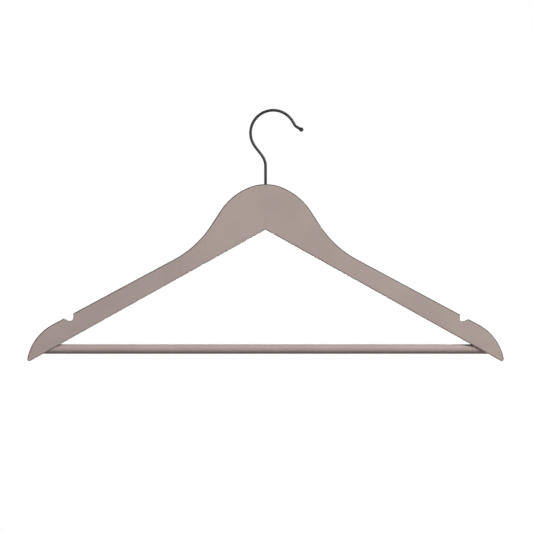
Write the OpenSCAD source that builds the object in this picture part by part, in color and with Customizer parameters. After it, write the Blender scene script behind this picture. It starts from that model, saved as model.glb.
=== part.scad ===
// Wooden trouser hanger with a round bar and a swivelling wire hook.
// Millimetres. +X runs along the board, -Y is the front, +Z is up.
// The origin is the place inside the hook that rests on a clothes rail.

/* [Board] */
// Overall width over the two tips
board_w = 445; // [400:1:480]
// Thickness of the wood, front to back
board_t = 12; // [11:0.5:18]
// Depth of the head, from its crown down to the apex of the lower edges
head_h = 42.4; // [38:0.1:60]
// Radius round the crown of the head
crown_r = 41; // [34:0.5:48]
// Slope at which the crown passes into the shoulder, in degrees
crown_slope = 22; // [14:1:30]
// Radius of the shoulder beside the crown
shoulder_r = 58; // [48:0.5:66]
// Steepest slope of the upper edge, between shoulder and neck, in degrees
neck_slope = 57; // [50:0.5:60]
// Length of the straight stretch at the steepest slope
neck_flat = 16; // [8:1:22]
// Radius of the hollow neck where the head runs into the arm
neck_r = 94; // [80:1:104]
// Slope of the arm's upper edge, in degrees
arm_slope = 28.2; // [27:0.1:29]
// Slope of the arm's lower edge, in degrees
lower_slope = 29.15; // [28.5:0.05:30]
// Radius of the rounded nose at the arm's end
nose_r = 46; // [36:0.5:54]
// Radius of the tip under the nose
tip_r = 1.8; // [1.6:0.1:4]
// Round-over along the upper edge, front and back
upper_round = 1.2; // [0.5:0.1:1.5]
// Eased edge along the lower edge, front and back
lower_round = 1; // [0.4:0.1:1.5]

/* [Centre joint] */
// Thickness of the tongue that joins the arms
tongue_t = 5; // [4.4:0.1:6]
// Length of the tongue beyond the seam
tongue_l = 8; // [4:0.5:14]
// Room for glue round the tongue and the bar's ends
glue_gap = 0.05; // [0.03:0.01:0.1]

/* [Strap notches] */
// From the left tip to the inner wall of the left notch
left_notch_in = 43; // [36:0.5:80]
// Height of the left notch's inner wall
left_notch_wall = 7.1; // [5:0.1:8]
// Radius in the left notch's corner, between wall and floor
left_notch_r = 3.3; // [0.5:0.1:4]
// From the right tip to the inner wall of the right notch
right_notch_in = 41; // [36:0.5:80]
// Height of the right notch's inner wall
right_notch_wall = 6.1; // [5:0.1:8]
// Radius in the right notch's corner, between wall and floor
right_notch_r = 1.3; // [0.5:0.1:4]
// Width of the notch floor
notch_floor = 4.8; // [4.2:0.1:7]
// Rise of the ramp from the floor to the outer lip, in degrees
notch_ramp = 30; // [20:1:45]

/* [Trouser bar] */
// Diameter of the bar
bar_d = 9; // [7:0.1:10]
// Height of the bar's axis above the lowest point of the tips
bar_rise = 11.1; // [9.5:0.1:18]
// Depth to which the top of the bar goes into the arm
bar_seat = 20; // [18:0.5:22]
// Room behind the bar's end in its socket
socket_room = 0.5; // [0.2:0.1:0.8]

/* [Brads] */
// Diameter of the brad
brad_d = 1.2; // [0.8:0.1:1.6]
// Diameter of the brad's head
brad_head_d = 2.2; // [1.8:0.1:3]
// Thickness of the brad's head
brad_head_t = 0.4; // [0.3:0.1:0.8]
// Length of the brad with its head
brad_l = 8.5; // [5:0.5:9]
// Length of the brad's point
brad_point = 1.5; // [0.5:0.1:2]
// Distance of the brad from the bar's end
brad_inset = 4; // [3:0.5:5]
// Room round the brad in its hole
brad_gap = 0.02; // [0.01:0.01:0.05]

/* [Hook] */
// Diameter of the wire
wire_d = 2.6; // [2:0.1:3]
// Height of the straight shank above the crown
shank_up = 16.7; // [10:0.1:30]
// Radius of the bend above the shank, along the middle of the wire
lean_r = 17.3; // [8:0.1:25]
// Lean of the slanted stretch from the vertical, in degrees
lean = 37.5; // [25:0.5:50]
// Length of the slanted stretch
slant_l = 10; // [4:0.5:20]
// Radius of the hook's loop, along the middle of the wire
loop_r = 21.2; // [18:0.1:30]
// Sweep of the hook's loop, in degrees
loop_sweep = 188; // [170:1:195]
// Straight stretch after the loop
throat_l = 3; // [1:0.5:8]
// Radius of the bend that turns the end outwards, along the middle of the wire
flick_r = 6; // [4:0.5:12]
// Turn of that bend, in degrees
flick = 30.5; // [15:0.5:60]
// Straight stretch from that bend to the middle of the ball
tail_l = 4.8; // [3.5:0.1:10]
// Diameter of the ball end
ball_d = 4.1; // [3.5:0.1:6]

/* [Shank in the wood] */
// Depth of the shank's point below the crown
shank_down = 26; // [24:0.5:32]
// Length of the plain shank from the crown to the first barb
plain_l = 5; // [3:0.5:8]
// Number of barbs
barbs = 6; // [2:1:6]
// Distance from barb to barb
barb_pitch = 2.5; // [2:0.1:3]
// Height of a barb
barb_h = 1.8; // [1:0.1:1.9]
// Diameter over the barbs
barb_d = 3.2; // [3.1:0.1:3.8]
// Width of a barb's rim
barb_rim = 0.3; // [0.1:0.1:0.6]
// Length of the point
point_l = 2; // [1:0.1:3]
// Diameter of the point's blunt end
point_d = 1; // [0.5:0.1:1.8]
// Running room round the shank, so that it turns in the wood
shank_gap = 0.05; // [0.03:0.01:0.1]

/* [Hidden] */
$fn = 64;

PAINT = [0.65, 0.60, 0.58];
STEEL = [0.28, 0.28, 0.27];
BRAD = [0.70, 0.70, 0.68];

// Degrees between points on the long arcs of the outline and on its small corners
ARC_STEP = 3;
CORNER_STEP = 15;
// Facets over a rounded edge
ROUND_STEPS = 4;

LEFT = -1;
RIGHT = 1;
// A length that runs past every piece
BEYOND = board_w;

// The wire swells a hair where it is bent, and each straight runs a little way into its bends
BEND_SWELL = 0.02;
BEND_LAP = 0.1;

// The outline is followed clockwise. Its heading is the slope below the horizontal, so that 0 runs
// right, 90 runs down, and the outward normal lies on its left.
function ahead(a) = [cos(a), -sin(a)];
function outward(a) = [sin(a), cos(a)];
function turn_centre(p, a, r) = p - r * outward(a);

// Where the arcs and straights of the right half meet, in the XZ plane, from the crown outwards
crown_c = [0, -crown_r];
shoulder_p = crown_c + crown_r * outward(crown_slope);
shoulder_c = turn_centre(shoulder_p, crown_slope, shoulder_r);
neck_top = shoulder_c + shoulder_r * outward(neck_slope);
neck_p = neck_top + neck_flat * ahead(neck_slope);
neck_c = turn_centre(neck_p, neck_slope, -neck_r);
arm_p = neck_c - neck_r * outward(arm_slope);

// The tip touches the lower edge and the overall width. The nose touches the tip from outside and
// the straight upper edge, which settles how long that edge is.
apex = [0, -head_h];
tip_x = board_w / 2 - tip_r;
tip_c = [tip_x, apex[1] - tip_x * tan(lower_slope) + tip_r / cos(lower_slope)];
nose_start = turn_centre(arm_p, arm_slope, nose_r) - tip_c;
along = nose_start * ahead(arm_slope);
reach = nose_r - tip_r;
arm_flat = -along - sqrt(along * along - nose_start * nose_start + reach * reach);
nose_c = tip_c + nose_start + arm_flat * ahead(arm_slope);
nose_slope = atan2(tip_c[0] - nose_c[0], tip_c[1] - nose_c[1]);
lower_heading = 180 + lower_slope;

// A station of the outline is its point, its outward normal and the radius of its rounded edge
function station(p, a, r) = [p, outward(a), r];
function steps_of(a0, a1, step) = ceil(abs(a1 - a0) / step);
function arc(c, r, a0, a1, step = ARC_STEP) =
    let (n = steps_of(a0, a1, step), side = sign(a1 - a0))
    [for (k = [0 : n]) let (a = a0 + (a1 - a0) * k / n) station(c + side * r * outward(a), a, upper_round)];

// Round the tip the round-over fades from the upper edge's radius to the lower edge's
function tip_arc() =
    let (n = steps_of(nose_slope, lower_heading, CORNER_STEP))
    [for (k = [1 : n]) let (
        a = nose_slope + (lower_heading - nose_slope) * k / n,
        fade = max(0, (a - 90) / (lower_heading - 90))
    ) station(tip_c + tip_r * outward(a), a, upper_round + (lower_round - upper_round) * fade)];

function without_first(list) = [for (i = [1 : len(list) - 1]) list[i]];
function mirrored(s) = [[-s[0][0], s[0][1]], [-s[1][0], s[1][1]], s[2]];

right_upper = concat(
    arc(crown_c, crown_r, 0, crown_slope),
    without_first(arc(shoulder_c, shoulder_r, crown_slope, neck_slope)),
    arc(neck_c, neck_r, neck_slope, arm_slope),
    arc(nose_c, nose_r, arm_slope, nose_slope),
    tip_arc()
);
side_n = len(right_upper) - 1;

// Lower stations lie opposite the upper ones, at the same share of the way from seam to tip
function lengths(list, i = 1, sum = 0, out = [0]) =
    i == len(list) ? out
    : let (next = sum + norm(list[i][0] - list[i - 1][0])) lengths(list, i + 1, next, concat(out, [next]));
upper_lengths = lengths(right_upper);
tip_end = right_upper[side_n][0];
right_lower = [for (i = [1 : side_n - 1])
    station(apex + (tip_end - apex) * upper_lengths[i] / upper_lengths[side_n], lower_heading, lower_round)];
apex_station = [apex, [0, -1 / cos(lower_slope)], lower_round];

// The closed outline: left tip, over the crown, right tip, and back along the lower edges
outline = concat(
    [for (i = [side_n : -1 : 1]) mirrored(right_upper[i])],
    right_upper,
    [for (i = [len(right_lower) - 1 : -1 : 0]) right_lower[i]],
    [apex_station],
    [for (s = right_lower) mirrored(s)]
);
outline_n = len(outline);

// One ring of points, where angle 0 lies on the flat face and 90 on the edge's outer wall
function ring(angle, face) = [for (s = outline) let (
    p = s[0] - s[1] * s[2] * (1 - sin(angle)),
    y = face * (board_t / 2 - s[2] * (1 - cos(angle)))
) [p[0], y, p[1]]];

// The whole board before the arms are parted, notched and bored
module board_blank() {
    angles = [for (k = [0 : ROUND_STEPS]) 90 * k / ROUND_STEPS];
    rings = concat(
        [for (a = angles) ring(a, -1)],
        [for (i = [ROUND_STEPS : -1 : 0]) ring(angles[i], 1)]
    );
    last = len(rings) - 1;
    points = [for (one = rings) each one];
    walls = [for (k = [0 : last - 1]) for (i = [0 : outline_n - 1])
        let (j = (i + 1) % outline_n, a = k * outline_n, b = a + outline_n)
        each [[a + i, b + j, a + j], [a + i, b + i, b + j]]];
    // On each flat face, upper point i lies opposite lower point outline_n - i
    upper_n = 2 * side_n;
    face = [for (i = [0 : upper_n - 1])
        let (low = (outline_n - i) % outline_n, low_next = outline_n - i - 1)
        each concat(
            i == 0 ? [] : [[low, i, i + 1]],
            i == upper_n - 1 ? [] : [[low, i + 1, low_next]]
        )];
    front = face;
    back = [for (t = face) [last * outline_n + t[0], last * outline_n + t[2], last * outline_n + t[1]]];
    polyhedron(points = points, faces = concat(front, walls, back));
}

// An outline in the XZ plane cut straight through the board, on either side of the seam
module through_board(side) {
    mirror([side == LEFT ? 1 : 0, 0, 0])
        rotate([90, 0, 0])
            linear_extrude(height = BEYOND, center = true) children();
}

// A box between two corners
module box(low, high) {
    translate(low) cube(high - low);
}

// The upper edge of the straight arm
function upper_edge(x) = arm_p[1] - (x - arm_p[0]) * tan(arm_slope);

// A notch for a skirt's strap: a steep inner wall, a level floor and a ramp to the outer lip
module strap_notch(side, inset, wall, r) {
    x = board_w / 2 - inset;
    floor_z = upper_edge(x) - wall;
    ramp_x = x + notch_floor;
    out = board_w / 2 - ramp_x;
    corner = [x + r, floor_z + r];
    through_board(side) polygon(concat(
        [[x, 0]],
        [for (a = [180 : CORNER_STEP : 270]) corner + r * [cos(a), sin(a)]],
        [[ramp_x, floor_z], [ramp_x + out, floor_z + out * tan(notch_ramp)], [ramp_x + out, 0]]
    ));
}

// The bar lies at a height above the tips, and its ends go into both arms
bar_z = tip_c[1] - tip_r + bar_rise;
bar_mouth = (apex[1] - bar_z - bar_d / 2) / tan(lower_slope);
bar_half = bar_mouth + bar_seat;
brad_x = bar_half - brad_inset;

module bar_cylinder(d, half) {
    translate([0, 0, bar_z])
        rotate([0, 90, 0])
            cylinder(d = d, h = 2 * half, center = true);
}

// A brad, driven from the back face. With a gap it is its hole.
module brad_shape(side, gap = 0) {
    r = brad_d / 2 + gap;
    head_r = brad_head_d / 2 + gap;
    translate([side * brad_x, board_t / 2, bar_z])
        rotate([-90, 0, 0])
            rotate_extrude()
                polygon([[0, gap], [head_r, gap], [head_r, -brad_head_t - gap], [r, -brad_head_t - gap],
                    [r, brad_point - brad_l - gap], [0, -brad_l - gap]]);
}

// The shank of the hook about its own axis, up to a height. With a gap it is its bore.
module shank_shape(top, gap = 0) {
    r = wire_d / 2 + gap;
    rim = barb_d / 2 + gap;
    rotate_extrude()
        polygon(concat(
            [[0, top], [r, top]],
            [for (i = [0 : barbs - 1]) let (z = -plain_l - i * barb_pitch)
                each [[r, z + gap], [rim, z + gap], [rim, z - barb_rim], [r, z - barb_h]]],
            [[r, point_l - shank_down - gap], [point_d / 2 + gap, -shank_down - gap], [0, -shank_down - gap]]
        ));
}

// The middle of the hook's wire, in the XZ plane. Its heading runs clockwise from straight up.
function up(a) = [sin(a), cos(a)];
function right_of(a) = [cos(a), -sin(a)];

loop_heading = loop_sweep - lean;
tail_heading = loop_heading - flick;
lean_c = [-lean_r, shank_up];
slant_p = lean_c + lean_r * right_of(-lean);
loop_p = slant_p + slant_l * up(-lean);
loop_c = loop_p + loop_r * right_of(-lean);
throat_p = loop_c - loop_r * right_of(loop_heading);
flick_p = throat_p + throat_l * up(loop_heading);
flick_c = flick_p - flick_r * right_of(loop_heading);
tail_p = flick_c + flick_r * right_of(tail_heading);
ball_c = tail_p + tail_l * up(tail_heading);

// The rail touches the hook at the top of its loop, on the inside
seat = loop_c + [0, loop_r - wire_d / 2];

module wire_straight(p, heading, length) {
    translate([p[0], 0, p[1]])
        rotate([0, heading, 0])
            translate([0, 0, -BEND_LAP])
                cylinder(d = wire_d, h = length + 2 * BEND_LAP);
}

module wire_bend(c, r, from, sweep) {
    translate([c[0], 0, c[1]])
        rotate([90, 0, 0])
            rotate_extrude(angle = sweep, start = from)
                translate([r, 0]) circle(d = wire_d + BEND_SWELL);
}

// Everything above is measured from the crown and the hook's shank. This puts the seat at the origin.
module placed() {
    translate([-seat[0], 0, -seat[1]]) children();
}

// The left arm carries the tongue, and with it the bore of the hook
module left_arm() {
    color(PAINT) placed() difference() {
        board_blank();
        box([tongue_l, -board_t, -BEYOND], [BEYOND, board_t, BEYOND]);
        box([0, tongue_t / 2, -BEYOND], [BEYOND, board_t, BEYOND]);
        box([0, -board_t, -BEYOND], [BEYOND, -tongue_t / 2, BEYOND]);
        shank_shape(shank_up, shank_gap);
        strap_notch(LEFT, left_notch_in, left_notch_wall, left_notch_r);
        bar_cylinder(bar_d + 2 * glue_gap, bar_half + socket_room);
        brad_shape(LEFT, brad_gap);
    }
}

// The right arm has the slot for the tongue
module right_arm() {
    slot = tongue_t / 2 + glue_gap;
    color(PAINT) placed() difference() {
        board_blank();
        box([-BEYOND, -board_t, -BEYOND], [0, board_t, BEYOND]);
        box([-board_t, -slot, -BEYOND], [tongue_l + glue_gap, slot, BEYOND]);
        strap_notch(RIGHT, right_notch_in, right_notch_wall, right_notch_r);
        bar_cylinder(bar_d + 2 * glue_gap, bar_half + socket_room);
        brad_shape(RIGHT, brad_gap);
    }
}

module trouser_bar() {
    color(PAINT) placed() difference() {
        bar_cylinder(bar_d, bar_half);
        brad_shape(LEFT, brad_gap);
        brad_shape(RIGHT, brad_gap);
    }
}

module bar_brad_left() {
    color(BRAD) placed() brad_shape(LEFT);
}

module bar_brad_right() {
    color(BRAD) placed() brad_shape(RIGHT);
}

module hook() {
    color(STEEL) placed() union() {
        shank_shape(shank_up + BEND_LAP);
        wire_bend(lean_c, lean_r, 0, lean);
        wire_straight(slant_p, -lean, slant_l);
        wire_bend(loop_c, loop_r, 180 - loop_heading, loop_sweep);
        wire_straight(throat_p, loop_heading, throat_l);
        wire_bend(flick_c, flick_r, -loop_heading, flick);
        wire_straight(tail_p, tail_heading, tail_l);
        translate([ball_c[0], 0, ball_c[1]]) sphere(d = ball_d);
    }
}

left_arm();
right_arm();
trouser_bar();
bar_brad_left();
bar_brad_right();
hook();
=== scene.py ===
"""A painted wooden trouser hanger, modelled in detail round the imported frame.

Everything is in metres in the frame's own axes: +X along the board, -Y the front, +Z up, with the
origin inside the hook's loop, where it rests on a rail.
"""

import math

import bmesh
import bpy
from mathutils import Matrix, Vector


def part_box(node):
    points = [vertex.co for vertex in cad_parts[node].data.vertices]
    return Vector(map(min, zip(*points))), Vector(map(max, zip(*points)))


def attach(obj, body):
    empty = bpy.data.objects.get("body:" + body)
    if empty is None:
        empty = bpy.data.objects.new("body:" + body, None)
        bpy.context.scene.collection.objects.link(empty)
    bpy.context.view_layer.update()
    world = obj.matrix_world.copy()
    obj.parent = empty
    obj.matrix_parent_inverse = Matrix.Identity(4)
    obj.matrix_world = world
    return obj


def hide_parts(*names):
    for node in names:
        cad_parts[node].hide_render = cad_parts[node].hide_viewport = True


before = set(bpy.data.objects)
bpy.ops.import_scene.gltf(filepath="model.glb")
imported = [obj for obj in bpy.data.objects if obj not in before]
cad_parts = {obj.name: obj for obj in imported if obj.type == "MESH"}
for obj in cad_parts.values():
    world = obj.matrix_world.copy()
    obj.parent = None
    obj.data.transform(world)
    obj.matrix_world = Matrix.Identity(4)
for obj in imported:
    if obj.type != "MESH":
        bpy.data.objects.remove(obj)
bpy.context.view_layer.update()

MM = 0.001

# What the frame says: the board's faces, the seam between the arms, the bar and the swivel's axis
arm_low, arm_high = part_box("left_arm")
right_low, right_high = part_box("right_arm")
bar_low, bar_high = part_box("trouser_bar")
hook_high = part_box("hook")[1]
brad_low, brad_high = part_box("bar_brad_left")

SEAM_X = right_low[0]
CROWN_Z = arm_high[2]
TIP_Z = arm_low[2]
HALF_W = right_high[0] - SEAM_X
HALF_T = (arm_high[1] - arm_low[1]) / 2
BAR_R = (bar_high[2] - bar_low[2]) / 2
BAR_Z = (bar_high[2] + bar_low[2]) / 2
BAR_HALF = (bar_high[0] - bar_low[0]) / 2
BRAD_X = SEAM_X - (brad_low[0] + brad_high[0]) / 2
WIRE_R = hook_high[2] / 2

# The board's outline, as radii and slopes from the crown outwards
CROWN_R = 41 * MM
CROWN_SLOPE = math.radians(22)
SHOULDER_R = 58 * MM
NECK_SLOPE = math.radians(57)
NECK_FLAT = 16 * MM
NECK_R = 94 * MM
ARM_SLOPE = math.radians(28.2)
LOWER_SLOPE = math.radians(29.15)
NOSE_R = 46 * MM
TIP_R = 1.8 * MM
HEAD_H = 42.4 * MM
UPPER_ROUND = 1.2 * MM
LOWER_ROUND = 1 * MM

# The strap notches: distance of the inner wall from the tip, its height, and the radii of its corner
# and of the outer lip
LEFT_NOTCH = (43 * MM, 7.1 * MM, 3.3 * MM, 0.4 * MM)
RIGHT_NOTCH = (41 * MM, 6.1 * MM, 1.3 * MM, 1.4 * MM)
NOTCH_FLOOR = 4.8 * MM
NOTCH_RAMP = math.radians(30)
NOTCH_EASE = 0.3 * MM
NOTCH_TOP_R = 0.5 * MM
NOTCH_RAMP_R = 1 * MM

# How late along the lower edge its round-over turns into the tip's
TIP_BLEND = 40

# The joint between the arms
TONGUE_HALF = 2.5 * MM
TONGUE_L = 8 * MM
GLUE_GAP = 0.05 * MM
SEAM_HALF = 0.03 * MM

# The hook's wire, as radii and turns from the shank's top to the ball
SHANK_UP = 16.7 * MM
LEAN_R = 17.3 * MM
LEAN = math.radians(37.5)
SLANT_L = 10 * MM
LOOP_R = 21.2 * MM
LOOP_SWEEP = math.radians(188)
THROAT_L = 3 * MM
FLICK_R = 6 * MM
FLICK = math.radians(30.5)
TAIL_L = 4.8 * MM
BALL_R = 2.05 * MM
BALL_BLEND = 0.35 * MM
BALL_FILLET = 0.3

# The shank in the wood
SHANK_DOWN = 26 * MM
PLAIN_L = 5 * MM
BARBS = 6
BARB_PITCH = 2.5 * MM
BARB_H = 1.8 * MM
BARB_R = 1.6 * MM
BARB_RIM = 0.3 * MM
POINT_L = 2 * MM
POINT_R = 0.5 * MM
SHANK_GAP = 0.05 * MM

# The bar in its sockets
BAR_EASE = 0.4 * MM
SOCKET_ROOM = 0.5 * MM

# The brads that pin the bar
BRAD_R = 0.6 * MM
BRAD_HEAD_R = 1.1 * MM
BRAD_HEAD_T = 0.4 * MM
BRAD_L = 8.5 * MM
BRAD_POINT = 1.5 * MM
POINT_RING = 0.35
BRAD_DISH = 0.12 * MM
BRAD_RIM = 0.1 * MM
BRAD_GAP = 0.02 * MM

# How finely the surfaces are divided
ARC_STEP = math.radians(1.5)
CORNER_STEP = math.radians(6)
FILLET_STEPS = 5
WIDE_FILLET_STEPS = 8
LOWER_STEPS = 90
ROUND_STEPS = 10
WIRE_STEP = math.radians(2.5)
WIRE_SIDES = 40
SHANK_STEPS = 12
SLANT_STEPS = 8
THROAT_STEPS = 3
TAIL_STEPS = 6
BALL_STEPS = 16
BAR_SIDES = 96
BAR_ROWS = 120
BORE_SIDES = 48
BRAD_SIDES = 48
BRAD_HOLE_SIDES = 32
SHARP = math.radians(32)

# A ring this far inside each face of the board keeps the shading of the face flat
HOLD = 0.5 * MM


# Shapes in the board's own plane. Points are (x, z) from the crown, x outwards on either side.

def ahead(a):
    """Along an edge that falls away from the crown at a slope."""
    return Vector((math.cos(a), -math.sin(a)))


def outward(a):
    """Square to that edge, out of the wood."""
    return Vector((math.sin(a), math.cos(a)))


def meet(p, u, q, v):
    """Where the line through p along u meets the line through q along v."""
    cross = u.x * v.y - u.y * v.x
    away = q - p
    return p + u * ((away.x * v.y - away.y * v.x) / cross)


def arc(c, r, a0, a1):
    """Stations along an arc: point, outward normal and radius of the rounded edge."""
    n = math.ceil(abs(a1 - a0) / ARC_STEP)
    side = 1 if a1 > a0 else -1
    angles = [a0 + (a1 - a0) * k / n for k in range(n + 1)]
    return [(c + outward(a) * side * r, outward(a), UPPER_ROUND) for a in angles]


def filleted(before, corner, after, r, n=FILLET_STEPS):
    """Points that round a corner between two straight lines with a radius."""
    u = (before - corner).normalized()
    v = (after - corner).normalized()
    half = u.angle(v) / 2
    reach = r / math.tan(half)
    centre = corner + (u + v).normalized() * (r / math.sin(half))
    start = corner + u * reach - centre
    end = corner + v * reach - centre
    turn = math.pi - 2 * half
    points = []
    for k in range(n + 1):
        t = k / n
        spoke = start * math.sin((1 - t) * turn) + end * math.sin(t * turn)
        points.append(centre + spoke / math.sin(turn))
    return points


class HalfOutline:
    """The meeting points of one half of the board, shared by all its rings."""

    def __init__(self):
        crown_c = Vector((0, -CROWN_R))
        shoulder_p = crown_c + outward(CROWN_SLOPE) * CROWN_R
        shoulder_c = shoulder_p - outward(CROWN_SLOPE) * SHOULDER_R
        neck_top = shoulder_c + outward(NECK_SLOPE) * SHOULDER_R
        neck_p = neck_top + ahead(NECK_SLOPE) * NECK_FLAT
        neck_c = neck_p + outward(NECK_SLOPE) * NECK_R
        self.arm_p = neck_c - outward(ARM_SLOPE) * NECK_R
        self.apex = Vector((0, -HEAD_H))
        tip_x = HALF_W - TIP_R
        tip_z = self.apex.y - tip_x * math.tan(LOWER_SLOPE) + TIP_R / math.cos(LOWER_SLOPE)
        self.tip_c = Vector((tip_x, tip_z))
        start = self.arm_p - outward(ARM_SLOPE) * NOSE_R - self.tip_c
        along = start.dot(ahead(ARM_SLOPE))
        reach = NOSE_R - TIP_R
        flat = -along - math.sqrt(along * along - start.dot(start) + reach * reach)
        nose_c = self.tip_c + start + ahead(ARM_SLOPE) * flat
        slope = math.atan2(self.tip_c.x - nose_c.x, self.tip_c.y - nose_c.y)
        self.head = (arc(crown_c, CROWN_R, 0, CROWN_SLOPE)
                     + arc(shoulder_c, SHOULDER_R, CROWN_SLOPE, NECK_SLOPE)[1:]
                     + arc(neck_c, NECK_R, NECK_SLOPE, ARM_SLOPE))
        self.nose = arc(nose_c, NOSE_R, ARM_SLOPE, slope)
        self.tip = self.tip_stations(slope)

    def tip_stations(self, slope):
        """Round the tip the round-over fades from the upper edge's radius to the lower edge's."""
        last = math.pi + LOWER_SLOPE
        n = math.ceil((last - slope) / CORNER_STEP)
        stations = []
        for k in range(1, n + 1):
            a = slope + (last - slope) * k / n
            fade = max(0.0, (a - math.pi / 2) / (last - math.pi / 2))
            r = UPPER_ROUND + (LOWER_ROUND - UPPER_ROUND) * fade
            stations.append((self.tip_c + outward(a) * TIP_R, outward(a), r))
        return stations

    def notch(self, size, inset, ease):
        """The notch's points on one ring: the edge lies inset into the wood, the notch's walls ease."""
        back, wall, corner_r, lip_r = size
        x = HALF_W - back
        floor_z = self.arm_p.y - (x - self.arm_p.x) * math.tan(ARM_SLOPE) - wall
        edge_p = self.arm_p - outward(ARM_SLOPE) * inset
        edge_u = ahead(ARM_SLOPE)
        down = Vector((0, -1))
        level = Vector((1, 0))
        ramp_u = Vector((math.cos(NOTCH_RAMP), math.sin(NOTCH_RAMP)))
        wall_p = Vector((x - ease, floor_z))
        floor_p = Vector((x, floor_z - ease))
        ramp_p = Vector((x + NOTCH_FLOOR, floor_z)) + Vector((ramp_u.y, -ramp_u.x)) * ease
        top = meet(edge_p, edge_u, wall_p, down)
        low = meet(wall_p, down, floor_p, level)
        foot = meet(floor_p, level, ramp_p, ramp_u)
        lip = meet(ramp_p, ramp_u, edge_p, edge_u)
        corner_end = low + level * (corner_r + ease)
        return (filleted(top - edge_u, top, low, NOTCH_TOP_R)
                + filleted(top, low, corner_end, corner_r + ease, WIDE_FILLET_STEPS)
                + filleted(corner_end, foot, lip, NOTCH_RAMP_R)
                + filleted(foot, lip, lip + edge_u, lip_r, WIDE_FILLET_STEPS))


def half_ring(half, size, angle, hold):
    """One half of a ring, from the crown to the tip, as (x, y, z) from the crown."""
    inwards = 1 - math.sin(angle)
    deep = 1 - math.cos(angle)
    place = []
    for p, normal, r in half.head:
        place.append((p - normal * (r * inwards + hold), r))
    for p in half.notch(size, UPPER_ROUND * inwards + hold, notch_ease(UPPER_ROUND * deep) + hold):
        place.append((p, UPPER_ROUND))
    for p, normal, r in half.nose + half.tip:
        place.append((p - normal * min(r * inwards + hold, TIP_R), r))
    return [(p.x, HALF_T - r * deep, p.y) for p, r in place]


def notch_ease(deep):
    """How far a notch's walls open at a depth under the face, over their own small round-over."""
    if deep >= NOTCH_EASE:
        return 0.0
    return NOTCH_EASE - math.sqrt(max(0.0, NOTCH_EASE ** 2 - (NOTCH_EASE - deep) ** 2))


def lower_ring(half, angle, hold):
    """The lower edge under one half ring, from just inside the tip to just outside the apex."""
    inset = LOWER_ROUND * (1 - math.sin(angle)) + hold
    y = HALF_T - LOWER_ROUND * (1 - math.cos(angle))
    lift = Vector((0, inset / math.cos(LOWER_SLOPE)))
    end = half.tip[-1][0]
    lift_end = -half.tip[-1][1] * min(inset, TIP_R)
    points = []
    for k in range(LOWER_STEPS - 1, 0, -1):
        share = k / LOWER_STEPS
        p = half.apex.lerp(end, share) + lift.lerp(lift_end, share ** TIP_BLEND)
        points.append((p.x, y, p.y))
    return points


def board_ring(half, angle, hold, face):
    """One closed ring round the whole board, at a place over its rounded edge."""
    right = half_ring(half, RIGHT_NOTCH, angle, hold)
    left = half_ring(half, LEFT_NOTCH, angle, hold)
    lower = lower_ring(half, angle, hold)
    inset = LOWER_ROUND * (1 - math.sin(angle)) + hold
    apex = (0, lower[0][1], half.apex.y + inset / math.cos(LOWER_SLOPE))
    ring = ([(-x, y, z) for x, y, z in reversed(left[1:])] + right + lower + [apex]
            + [(-x, y, z) for x, y, z in reversed(lower)])
    return [Vector((SEAM_X + x, face * y, CROWN_Z + z)) for x, y, z in ring]


def new_object(name, bm):
    """Turns a working mesh into an object of the scene, and frees it."""
    mesh = bpy.data.meshes.new(name)
    bm.normal_update()
    bm.to_mesh(mesh)
    bm.free()
    obj = bpy.data.objects.new(name, mesh)
    bpy.context.scene.collection.objects.link(obj)
    return obj


def loft(name, rings):
    """A closed solid through rings of as many points each."""
    bm = bmesh.new()
    rows = [[bm.verts.new(p) for p in ring] for ring in rings]
    for low, high in zip(rows, rows[1:]):
        n = len(low)
        for i in range(n):
            j = (i + 1) % n
            bm.faces.new((low[i], low[j], high[j], high[i]))
    bm.faces.new(reversed(rows[0]))
    bm.faces.new(rows[-1])
    bmesh.ops.recalc_face_normals(bm, faces=bm.faces)
    return new_object(name, bm)


def board_blank(half):
    """The whole board before the arms are parted and bored."""
    angles = [math.pi / 2 * k / ROUND_STEPS for k in range(ROUND_STEPS + 1)]
    rings = [board_ring(half, 0, HOLD, -1)] + [board_ring(half, a, 0, -1) for a in angles]
    rings += [board_ring(half, a, 0, 1) for a in reversed(angles)] + [board_ring(half, 0, HOLD, 1)]
    return loft("board_blank", rings)


def box(name, low, high):
    """A box between two corners."""
    bm = bmesh.new()
    bmesh.ops.create_cube(bm, size=1)
    centre = (Vector(low) + Vector(high)) / 2
    size = Vector(high) - Vector(low)
    for v in bm.verts:
        v.co = centre + v.co * size
    return new_object(name, bm)


def turned(name, profile, place, sides):
    """A solid of revolution from (radius, height) points, turned about its own Z and then placed."""
    bm = bmesh.new()
    rows = []
    for r, h in profile:
        if r == 0:
            rows.append([bm.verts.new(place @ Vector((0, 0, h)))])
            continue
        row = []
        for i in range(sides):
            a = math.tau * i / sides
            row.append(bm.verts.new(place @ Vector((r * math.cos(a), r * math.sin(a), h))))
        rows.append(row)
    for low, high in zip(rows, rows[1:]):
        for i in range(sides):
            j = (i + 1) % sides
            corners = [low[i % len(low)], low[j % len(low)], high[j % len(high)], high[i % len(high)]]
            bm.faces.new(list(dict.fromkeys(corners)))
    bmesh.ops.recalc_face_normals(bm, faces=bm.faces)
    return new_object(name, bm)


def carve(piece, cutters):
    """Cuts each cutter out of a piece and deletes the cutters."""
    for cutter in cutters:
        cut = piece.modifiers.new("cut", "BOOLEAN")
        cut.operation = "DIFFERENCE"
        cut.solver = "EXACT"
        cut.object = cutter
    bpy.context.view_layer.update()
    evaluated = piece.evaluated_get(bpy.context.evaluated_depsgraph_get())
    shaped = bpy.data.meshes.new_from_object(evaluated)
    piece.modifiers.clear()
    piece.data = shaped
    for cutter in cutters:
        bpy.data.objects.remove(cutter)


def smooth(piece):
    """Shades a piece smooth but for its sharp edges."""
    piece.data.shade_smooth()
    piece.data.set_sharp_from_angle(angle=SHARP)


# The pieces that only cut

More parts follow.
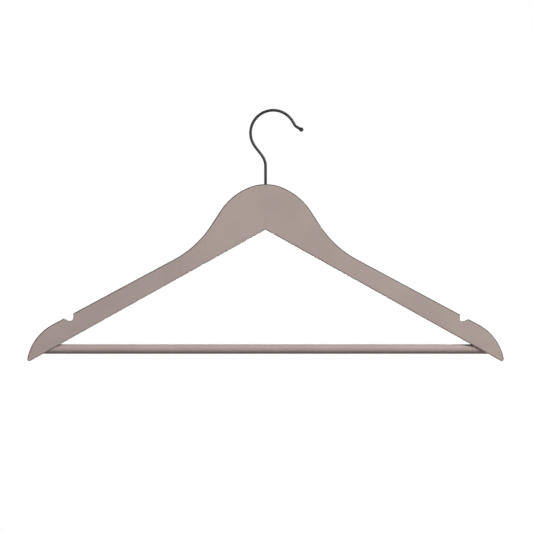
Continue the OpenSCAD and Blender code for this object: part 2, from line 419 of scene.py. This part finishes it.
ALONG_X = Matrix.Rotation(math.pi / 2, 4, "Y")
TO_BACK = Matrix.Rotation(-math.pi / 2, 4, "X")
FAR = 1.0


def shank_profile(top, gap):
    """The shank's radius and height from its point up to a height, with its barbs."""
    r = WIRE_R + gap
    rim = BARB_R + gap
    points = [(0, -SHANK_DOWN - gap), (POINT_R + gap, -SHANK_DOWN - gap), (r, POINT_L - SHANK_DOWN - gap)]
    for i in reversed(range(BARBS)):
        z = -PLAIN_L - i * BARB_PITCH
        points += [(r, z - BARB_H), (rim, z - BARB_RIM), (rim, z + gap), (r, z + gap)]
    return points + [(r, top)]


def shank_bore():
    place = Matrix.Translation((SEAM_X, 0, CROWN_Z))
    profile = shank_profile(SHANK_UP, SHANK_GAP) + [(0, SHANK_UP)]
    return turned("shank_bore", profile, place, BORE_SIDES)


def bar_socket():
    half = BAR_HALF + SOCKET_ROOM
    r = BAR_R + GLUE_GAP
    place = Matrix.Translation((SEAM_X, 0, BAR_Z)) @ ALONG_X
    return turned("bar_socket", [(0, -half), (r, -half), (r, half), (0, half)], place, BAR_SIDES)


def brad_profile(gap):
    """The radius and height of a brad's plain hole, from its point up to past its head."""
    r = BRAD_R + gap
    head_r = BRAD_HEAD_R + gap
    return [(0, -BRAD_L - gap), (r, BRAD_POINT - BRAD_L - gap), (r, -BRAD_HEAD_T - gap),
            (head_r, -BRAD_HEAD_T - gap), (head_r, gap), (0, gap)]


def brad_place(side):
    """A brad stands in the back of the board, its head outwards."""
    return Matrix.Translation((SEAM_X + side * BRAD_X, HALF_T, BAR_Z)) @ TO_BACK


def brad_hole(side):
    return turned("brad_hole", brad_profile(BRAD_GAP), brad_place(side), BRAD_HOLE_SIDES)


# The pieces of the hanger

def copy_of(blank, name):
    """A whole board to cut one arm from."""
    arm = blank.copy()
    arm.data = blank.data.copy()
    arm.name = name
    bpy.context.scene.collection.objects.link(arm)
    return arm


def make_left_arm(blank):
    """The arm with the tongue, which the hook's shank goes down into."""
    arm = copy_of(blank, "left_arm_board")
    edge = SEAM_X - SEAM_HALF
    carve(arm, [
        box("past", (SEAM_X + TONGUE_L, -FAR, -FAR), (FAR, FAR, FAR)),
        box("front", (edge, -FAR, -FAR), (FAR, -TONGUE_HALF, FAR)),
        box("rear", (edge, TONGUE_HALF, -FAR), (FAR, FAR, FAR)),
        shank_bore(),
        bar_socket(),
        brad_hole(-1),
    ])
    return arm


def make_right_arm(blank):
    """The arm with the slot for the tongue."""
    arm = copy_of(blank, "right_arm_board")
    slot = TONGUE_HALF + GLUE_GAP
    edge = SEAM_X + SEAM_HALF
    carve(arm, [
        box("past", (-FAR, -FAR, -FAR), (edge, FAR, FAR)),
        box("slot", (-FAR, -slot, -FAR), (SEAM_X + TONGUE_L + GLUE_GAP, slot, FAR)),
        bar_socket(),
        brad_hole(1),
    ])
    return arm


def make_bar():
    """A dowel with eased ends."""
    place = Matrix.Translation((SEAM_X, 0, BAR_Z)) @ ALONG_X
    inner = BAR_HALF - BAR_EASE
    profile = [(0, -BAR_HALF), (BAR_R - BAR_EASE, -BAR_HALF)]
    profile += [(BAR_R, -inner + 2 * inner * k / BAR_ROWS) for k in range(BAR_ROWS + 1)]
    profile += [(BAR_R - BAR_EASE, BAR_HALF), (0, BAR_HALF)]
    bar = turned("trouser_bar_dowel", profile, place, BAR_SIDES)
    carve(bar, [brad_hole(-1), brad_hole(1)])
    return bar


def make_brad(name, side):
    """A brad with a shallow dished head, flush with the back of the board."""
    profile = [(0, -BRAD_L), (POINT_RING * BRAD_R, POINT_RING * BRAD_POINT - BRAD_L),
               (BRAD_R, BRAD_POINT - BRAD_L), (BRAD_R, -BRAD_HEAD_T)]
    profile += [(BRAD_HEAD_R - BRAD_RIM, -BRAD_HEAD_T), (BRAD_HEAD_R, BRAD_RIM - BRAD_HEAD_T),
                (BRAD_HEAD_R, -BRAD_RIM)]
    # Over the rim and into the dish: how far inwards, in widths of the rim, and how deep
    top = [(0.3, 0.3 * BRAD_RIM), (1, 0), (2.5, 0.3 * BRAD_DISH), (5, 0.8 * BRAD_DISH)]
    profile += [(BRAD_HEAD_R - rims * BRAD_RIM, -deep) for rims, deep in top]
    profile += [(0, -BRAD_DISH)]
    return turned(name, profile, brad_place(side), BRAD_SIDES)


class Route:
    """The middle of the wire in the XZ plane, from the crown up. Heading 0 is straight up."""

    def __init__(self):
        self.p = Vector((0, 0))
        self.a = 0.0
        self.points = []

    def add(self, r):
        self.points.append((self.p.copy(), self.a, r))

    def up(self):
        return Vector((math.sin(self.a), math.cos(self.a)))

    def right(self):
        return Vector((math.cos(self.a), -math.sin(self.a)))

    def straight(self, length, n, radius=lambda s: WIRE_R):
        """Goes on straight in n steps, with the wire's radius from the distance gone."""
        start = self.p.copy()
        for k in range(1, n + 1):
            self.p = start + self.up() * (length * k / n)
            self.add(radius(length * k / n))

    def bend(self, r, turn):
        """Turns right for a positive turn and left for a negative one."""
        side = 1 if turn > 0 else -1
        centre = self.p + self.right() * side * r
        n = math.ceil(abs(turn) / WIRE_STEP)
        start = self.a
        for k in range(1, n + 1):
            self.a = start + turn * k / n
            self.p = centre - self.right() * side * r
            self.add(WIRE_R)


def ball_radius(s):
    """The wire's radius along its tail, which swells through a small fillet into the ball."""
    from_centre = s - TAIL_L
    inside = BALL_R ** 2 - from_centre ** 2
    ball = math.sqrt(inside) if inside > 0 else 0.0
    fillet = BALL_BLEND * math.exp(-abs(ball - WIRE_R) / BALL_BLEND) * BALL_FILLET
    return max(ball, WIRE_R) + (fillet if from_centre < 0 else 0.0)


def make_hook():
    """One wire from its point in the wood to the ball, swept as one closed skin."""
    route = Route()
    for r, z in shank_profile(0.0, 0.0)[1:-1]:
        route.p = Vector((0, z))
        route.add(r)
    route.p = Vector((0, 0))
    route.add(WIRE_R)
    route.straight(SHANK_UP, SHANK_STEPS)
    route.bend(LEAN_R, -LEAN)
    route.straight(SLANT_L, SLANT_STEPS)
    route.bend(LOOP_R, LOOP_SWEEP)
    route.straight(THROAT_L, THROAT_STEPS)
    route.bend(FLICK_R, -FLICK)
    flare = TAIL_L - math.sqrt(BALL_R ** 2 - WIRE_R ** 2)
    route.straight(flare, TAIL_STEPS, ball_radius)
    up = route.up()
    centre = route.p + up * (TAIL_L - flare)
    start = math.asin(WIRE_R / BALL_R)
    for k in range(1, BALL_STEPS):
        a = start + (math.pi - start) * k / BALL_STEPS
        route.p = centre - up * (BALL_R * math.cos(a))
        route.add(BALL_R * math.sin(a))
    rings = []
    for p, a, r in route.points:
        right = Vector((math.cos(a), 0, -math.sin(a)))
        middle = Vector((SEAM_X + p.x, 0, CROWN_Z + p.y))
        ring = []
        for i in range(WIRE_SIDES):
            t = math.tau * i / WIRE_SIDES
            ring.append(middle + right * (r * math.cos(t)) + Vector((0, r * math.sin(t), 0)))
        rings.append(ring)
    return loft("hook_wire", rings)


# Materials

PAINT_DARK = (0.347, 0.277, 0.256)
PAINT_LIGHT = (0.383, 0.306, 0.283)
# The dark colour painted as shade along the upper edges, where they turn upwards
PAINTED_EDGE_SHADE = (0.042, 0.037, 0.034)
ARM_ROUGHNESS = 0.56
BAR_ROUGHNESS = 0.4
ROUGHNESS_SPREAD = 0.03
PAINT_IOR = 1.45

# The shade painted on the upper edges: how strong, and at which turns of the surface it starts and ends
EDGE_SHADE_STRENGTH = 1.0
OFF_FACE = (0.01, 0.08)
OFF_TOP = (0.1, 0.4)
UPWARD = (-0.2, 0.1)
RAGGED = (0.6, 1.5)
UNEVEN = (0.9, 1.0)

WIRE_DARK = (0.035, 0.0343, 0.033)
WIRE_LIGHT = (0.048, 0.047, 0.0455)
WIRE_ROUGHNESS = (0.45, 0.52)
WIRE_TINT = (0.2, 0.2, 0.2, 1)
STEEL_DARK = (0.48, 0.48, 0.46)
STEEL_LIGHT = (0.62, 0.62, 0.6)
STEEL_ROUGHNESS = (0.38, 0.5)

# Noise: waves a metre, and the values that most of it lies between
CLOUDS = 14.0
GRAIN = (18, 260, 260)
ROLLED = 1300.0
EDGE_RAGS = 700.0
EDGE_PATCHES = 90.0
MOTTLE = 160.0
WIRE_SKIN = 2600.0
SPECKLE = 1500.0
SPAN = (0.3, 0.7)
CLOUD_SPAN = (0.35, 0.65)
PATCH_SPAN = (0.3, 0.55)

# Bumps: strength and distance
GRAIN_BUMP = (0.12, 0.4 * MM)
ROLLED_BUMP = (0.1, 0.1 * MM)
WIRE_BUMP = (0.08, 0.05 * MM)
SPECKLE_BUMP = (0.1, 0.04 * MM)


def colours(sockets):
    """Those of a mix node's sockets that carry colours."""
    return [s for s in sockets if s.type == "RGBA"]


class Nodes:
    """A short way to build a node tree."""

    def __init__(self, tree):
        self.tree = tree

    def add(self, kind, **settings):
        node = self.tree.nodes.new(kind)
        for key, value in settings.items():
            setattr(node, key, value)
        return node

    def link(self, a, b):
        self.tree.links.new(a, b)

    def split(self, vector):
        """The X, Y and Z of a vector."""
        node = self.add("ShaderNodeSeparateXYZ")
        self.link(vector, node.inputs["Vector"])
        return node.outputs

    def math(self, operation, a, b=None):
        node = self.add("ShaderNodeMath", operation=operation)
        self.link(a, node.inputs[0])
        if b:
            self.link(b, node.inputs[1])
        return node.outputs["Value"]

    def range(self, value, low, high, to_low, to_high, kind="LINEAR"):
        """A value brought from one range to another."""
        node = self.add("ShaderNodeMapRange", interpolation_type=kind)
        ends = {"From Min": low, "From Max": high, "To Min": to_low, "To Max": to_high}
        for key, number in ends.items():
            node.inputs[key].default_value = number
        self.link(value, node.inputs["Value"])
        return node.outputs["Result"]

    def mix(self, fac, a, b):
        """A colour between two, which are plain colours or sockets."""
        node = self.add("ShaderNodeMix", data_type="RGBA")
        self.link(fac, node.inputs["Factor"])
        for target, value in zip(colours(node.inputs), (a, b)):
            if isinstance(value, tuple):
                target.default_value = (*value, 1)
            else:
                self.link(value, target)
        return colours(node.outputs)[0]

    def seen_directly(self):
        """1 for rays from the camera, a reflection or glass, and 0 for the light that is scattered."""
        path = self.add("ShaderNodeLightPath").outputs
        either = self.math("MAXIMUM", path["Is Camera Ray"], path["Is Glossy Ray"])
        return self.math("MAXIMUM", either, path["Is Transmission Ray"])


class Surface(Nodes):
    """The nodes of one material."""

    def __init__(self, name):
        self.material = bpy.data.materials.new(name)
        self.material.use_nodes = True
        super().__init__(self.material.node_tree)
        self.shader = self.tree.nodes["Principled BSDF"]
        own = self.add("ShaderNodeTexCoord")
        self.place = own.outputs["Object"]
        self.facing = own.outputs["Normal"]

    def set(self, **values):
        """Gives the shader plain values."""
        for key, value in values.items():
            self.shader.inputs[key.replace("_", " ")].default_value = value

    def feed(self, **sockets):
        """Gives the shader values from other nodes."""
        for key, socket in sockets.items():
            self.link(socket, self.shader.inputs[key.replace("_", " ")])

    def mapped(self, scale, turn):
        node = self.add("ShaderNodeMapping")
        node.inputs["Scale"].default_value = scale
        node.inputs["Rotation"].default_value = turn
        self.link(self.place, node.inputs["Vector"])
        return node.outputs["Vector"]

    def noise(self, place, scale, detail=2.0, roughness=0.5):
        node = self.add("ShaderNodeTexNoise")
        node.inputs["Scale"].default_value = scale
        node.inputs["Detail"].default_value = detail
        node.inputs["Roughness"].default_value = roughness
        self.link(place, node.inputs["Vector"])
        return node.outputs["Fac"]

    def bump(self, height, strength, distance, normal=None):
        node = self.add("ShaderNodeBump")
        node.inputs["Strength"].default_value = strength
        node.inputs["Distance"].default_value = distance
        self.link(height, node.inputs["Height"])
        if normal:
            self.link(normal, node.inputs["Normal"])
        return node.outputs["Normal"]


def painted_edge_shade(m, shade_strength):
    """Painted shade on the rounded upper edges: 1 where they turn away from the faces and upwards, and 0
    on the faces and the edge's top.
    """
    normal = m.split(m.facing)
    flat = m.math("ABSOLUTE", normal["Y"])
    turned = m.range(flat, 1.0, 0.0, 0.0, 1.0)
    ragged = m.range(m.noise(m.place, EDGE_RAGS, detail=3.0), *SPAN, *RAGGED)
    off_face = m.range(m.math("MULTIPLY", turned, ragged), *OFF_FACE, 0.0, 1.0, "SMOOTHSTEP")
    off_top = m.range(m.math("MULTIPLY", flat, ragged), *OFF_TOP, 0.0, 1.0, "SMOOTHSTEP")
    # Painted shade: strongest where the edge faces upwards, none where it faces down
    upward = m.range(normal["Z"], *UPWARD, 0.0, shade_strength)
    uneven = m.range(m.noise(m.place, EDGE_PATCHES, detail=4.0), *PATCH_SPAN, *UNEVEN)
    band = m.math("MULTIPLY", off_face, off_top)
    return m.math("MULTIPLY", band, m.math("MULTIPLY", upward, uneven))


def paint_material(name, grain_turn, roughness, shade_strength):
    """Opaque satin paint on wood: cloudy tone, painted shade on the upper edges, and the grain faintly
    raised.
    """
    m = Surface(name)
    clouds = m.noise(m.place, CLOUDS, detail=3.0)
    along_arm = m.mapped(GRAIN, (0, grain_turn, 0))
    grain = m.noise(along_arm, 1.0, detail=4.0, roughness=0.6)
    rolled = m.noise(m.place, ROLLED)
    tone = m.mix(m.range(clouds, *CLOUD_SPAN, 0.0, 1.0), PAINT_DARK, PAINT_LIGHT)
    # Painted shade along the upper edges, which also makes the paint matt there
    edge_shade = painted_edge_shade(m, shade_strength)
    satin = m.range(clouds, *SPAN, roughness - ROUGHNESS_SPREAD, roughness + ROUGHNESS_SPREAD)
    raised = m.bump(grain, *GRAIN_BUMP)
    m.feed(
        Base_Color=m.mix(edge_shade, tone, PAINTED_EDGE_SHADE),
        Roughness=m.math("MAXIMUM", satin, edge_shade),
        Normal=m.bump(rolled, *ROLLED_BUMP, raised),
    )
    m.set(IOR=PAINT_IOR)
    return m.material


def wire_material():
    """Steel wire with a dark grey plated surface, faintly mottled and rough."""
    m = Surface("dark_plated_steel")
    mottle = m.noise(m.place, MOTTLE, detail=3.0)
    m.feed(
        Base_Color=m.mix(m.range(mottle, *SPAN, 0.0, 1.0), WIRE_DARK, WIRE_LIGHT),
        Roughness=m.range(mottle, *SPAN, *WIRE_ROUGHNESS),
        Normal=m.bump(m.noise(m.place, WIRE_SKIN), *WIRE_BUMP),
    )
    m.set(Metallic=1.0, Specular_Tint=WIRE_TINT)
    return m.material


def brad_material():
    """A steel brad whose head is painted over. The paint ends within the head's thickness."""
    m = Surface("painted_brad_steel")
    back = m.split(m.place)["Y"]
    painted = m.range(back, HALF_T - BRAD_HEAD_T, HALF_T - 0.5 * BRAD_HEAD_T, 0.0, 1.0)
    speckle = m.noise(m.place, SPECKLE)
    m.feed(
        Base_Color=m.mix(painted, m.mix(speckle, STEEL_DARK, STEEL_LIGHT), PAINT_DARK),
        Metallic=m.range(painted, 0.0, 1.0, 1.0, 0.0),
        Roughness=m.range(speckle, 0.0, 1.0, *STEEL_ROUGHNESS),
        Normal=m.bump(speckle, *SPECKLE_BUMP),
    )
    return m.material


def dress(piece, material):
    """Gives a piece one material."""
    piece.data.materials.clear()
    piece.data.materials.append(material)


# Build the pieces and hand them to the frame

half = HalfOutline()
blank = board_blank(half)
left_arm = make_left_arm(blank)
right_arm = make_right_arm(blank)
bpy.data.objects.remove(blank)
bar = make_bar()
left_brad = make_brad("left_bar_brad", -1)
right_brad = make_brad("right_bar_brad", 1)
hook = make_hook()

# The arms get painted shade along their upper edges, the bar none
left_paint = paint_material("taupe_paint_left", -ARM_SLOPE, ARM_ROUGHNESS, EDGE_SHADE_STRENGTH)
right_paint = paint_material("taupe_paint_right", ARM_SLOPE, ARM_ROUGHNESS, EDGE_SHADE_STRENGTH)
bar_paint = paint_material("taupe_paint_bar", 0.0, BAR_ROUGHNESS, 0.0)

# piece, body, replaced node, slot, material
plan = [
    (left_arm, "board_body", "left_arm", "painted_wood", left_paint),
    (right_arm, "board_body", "right_arm", "painted_wood", right_paint),
    (bar, "board_body", "trouser_bar", "painted_bar", bar_paint),
    (left_brad, "board_body", "bar_brad_left", "brad_steel", brad_material()),
    (right_brad, "board_body", "bar_brad_right", "brad_steel", brad_material()),
    (hook, "hook_body", "hook", "hook_steel", wire_material()),
]
for piece, body, node, slot, material in plan:
    smooth(piece)
    dress(piece, material)
    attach(piece, body)
    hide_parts(node)


# Studio: a pale floor below the hanging object, a white horizon and four soft lights

FLOOR_Z = -0.6
FLOOR_SIZE = (12, 3.8)
FLOOR_PALE = (0.42, 0.42, 0.42)
FLOOR_BOUNCE = (0.15, 0.15, 0.15)
FLOOR_ROUGHNESS = 0.9
FLOOR_GLOW = 0.25
FLOOR_FADE = (0.3, 2.2)

AMBIENT = (0.07, 0.07, 0.07)
# Height of the view from straight down, 0, over the horizon, 0.5, to straight up, 1, and its grey
WORLD_STOPS = [(0.0, 1.0), (0.62, 1.0), (0.8, 0.12), (1.0, 0.1)]

# Name, degrees up from level, degrees round from the front to the right, distance, size and power
LIGHTS = [
    ("right_light", 33, 50, 2.6, (1.0, 0.8), 85),
    ("left_light", 25, -45, 3.0, (1.0, 0.8), 22),
    ("top_light", 64, 0, 2.0, (2.0, 0.2), 4.2),
    ("back_light", 0, 175, 2.7, (1.6, 0.8), 62),
]


def floor_material():
    """Pale where it is seen, fading to white far out, and darker for the light that it throws up."""
    m = Surface("floor_pale")
    seen = m.seen_directly()
    reach = m.add("ShaderNodeVectorMath", operation="LENGTH")
    m.link(m.add("ShaderNodeNewGeometry").outputs["Position"], reach.inputs[0])
    glow = m.range(reach.outputs["Value"], *FLOOR_FADE, FLOOR_GLOW, 1.0, "SMOOTHSTEP")
    m.feed(
        Base_Color=m.mix(seen, FLOOR_BOUNCE, FLOOR_PALE),
        Emission_Strength=m.math("MULTIPLY", seen, glow),
    )
    m.set(Roughness=FLOOR_ROUGHNESS, Emission_Color=(1, 1, 1, 1))
    return m.material


def make_floor():
    """A level floor, which is stage and not part of the object."""
    bm = bmesh.new()
    bmesh.ops.create_grid(bm, x_segments=1, y_segments=1, size=0.5)
    floor = new_object("floor", bm)
    floor.scale = (*FLOOR_SIZE, 1)
    floor.location = (0, 0, FLOOR_Z)
    dress(floor, floor_material())


def studio_world():
    """White up to a little over the horizon and dark overhead where it is seen, else a low even light."""
    world = bpy.data.worlds.new("studio")
    bpy.context.scene.world = world
    world.use_nodes = True
    w = Nodes(world.node_tree)
    view = w.split(w.add("ShaderNodeTexCoord").outputs["Generated"])
    ramp = w.add("ShaderNodeValToRGB")
    w.link(w.range(view["Z"], -1.0, 1.0, 0.0, 1.0), ramp.inputs["Fac"])
    stops = ramp.color_ramp.elements
    for stop, (at, grey) in zip(stops, (WORLD_STOPS[0], WORLD_STOPS[-1])):
        stop.position = at
        stop.color = (grey, grey, grey, 1)
    for at, grey in WORLD_STOPS[1:-1]:
        stops.new(at).color = (grey, grey, grey, 1)
    sky = w.mix(w.seen_directly(), AMBIENT, ramp.outputs["Color"])
    w.link(sky, w.tree.nodes["Background"].inputs["Color"])


def area_light(name, elevation, side, distance, size, power):
    """A soft light aimed at the middle of the hanger."""
    up, right = math.radians(elevation), math.radians(side)
    away = Vector((math.sin(right) * math.cos(up), -math.cos(right) * math.cos(up), math.sin(up)))
    data = bpy.data.lights.new(name, "AREA")
    data.shape = "RECTANGLE"
    data.size, data.size_y = size
    data.energy = power
    light = bpy.data.objects.new(name, data)
    light.location = Vector((SEAM_X, 0, (CROWN_Z + TIP_Z) / 2)) + away * distance
    light.rotation_mode = "QUATERNION"
    light.rotation_quaternion = (-away).to_track_quat("-Z", "Y")
    bpy.context.scene.collection.objects.link(light)


make_floor()
studio_world()
for light in LIGHTS:
    area_light(*light)


# Camera: level and square to the board, as the photograph was taken

PIXEL = 0.9357 * MM
FRAME_PIXELS = 533
FRAME_W = FRAME_PIXELS * PIXEL
CAMERA_D = 2.5
CAMERA_ASIDE = 0.9 * MM
CAMERA_DROP = 76.9 * MM
CLIP_END = 30
SENSOR = 36.0

camera_data = bpy.data.cameras.new("camera")
camera_data.sensor_width = SENSOR
camera_data.lens = SENSOR * CAMERA_D / FRAME_W
camera_data.clip_end = CLIP_END
camera = bpy.data.objects.new("camera", camera_data)
camera.location = (SEAM_X + CAMERA_ASIDE, -CAMERA_D, CROWN_Z - CAMERA_DROP)
camera.rotation_euler = (math.pi / 2, 0, 0)
bpy.context.scene.collection.objects.link(camera)
bpy.context.scene.camera = camera
bpy.context.scene.view_settings.view_transform = "Standard"
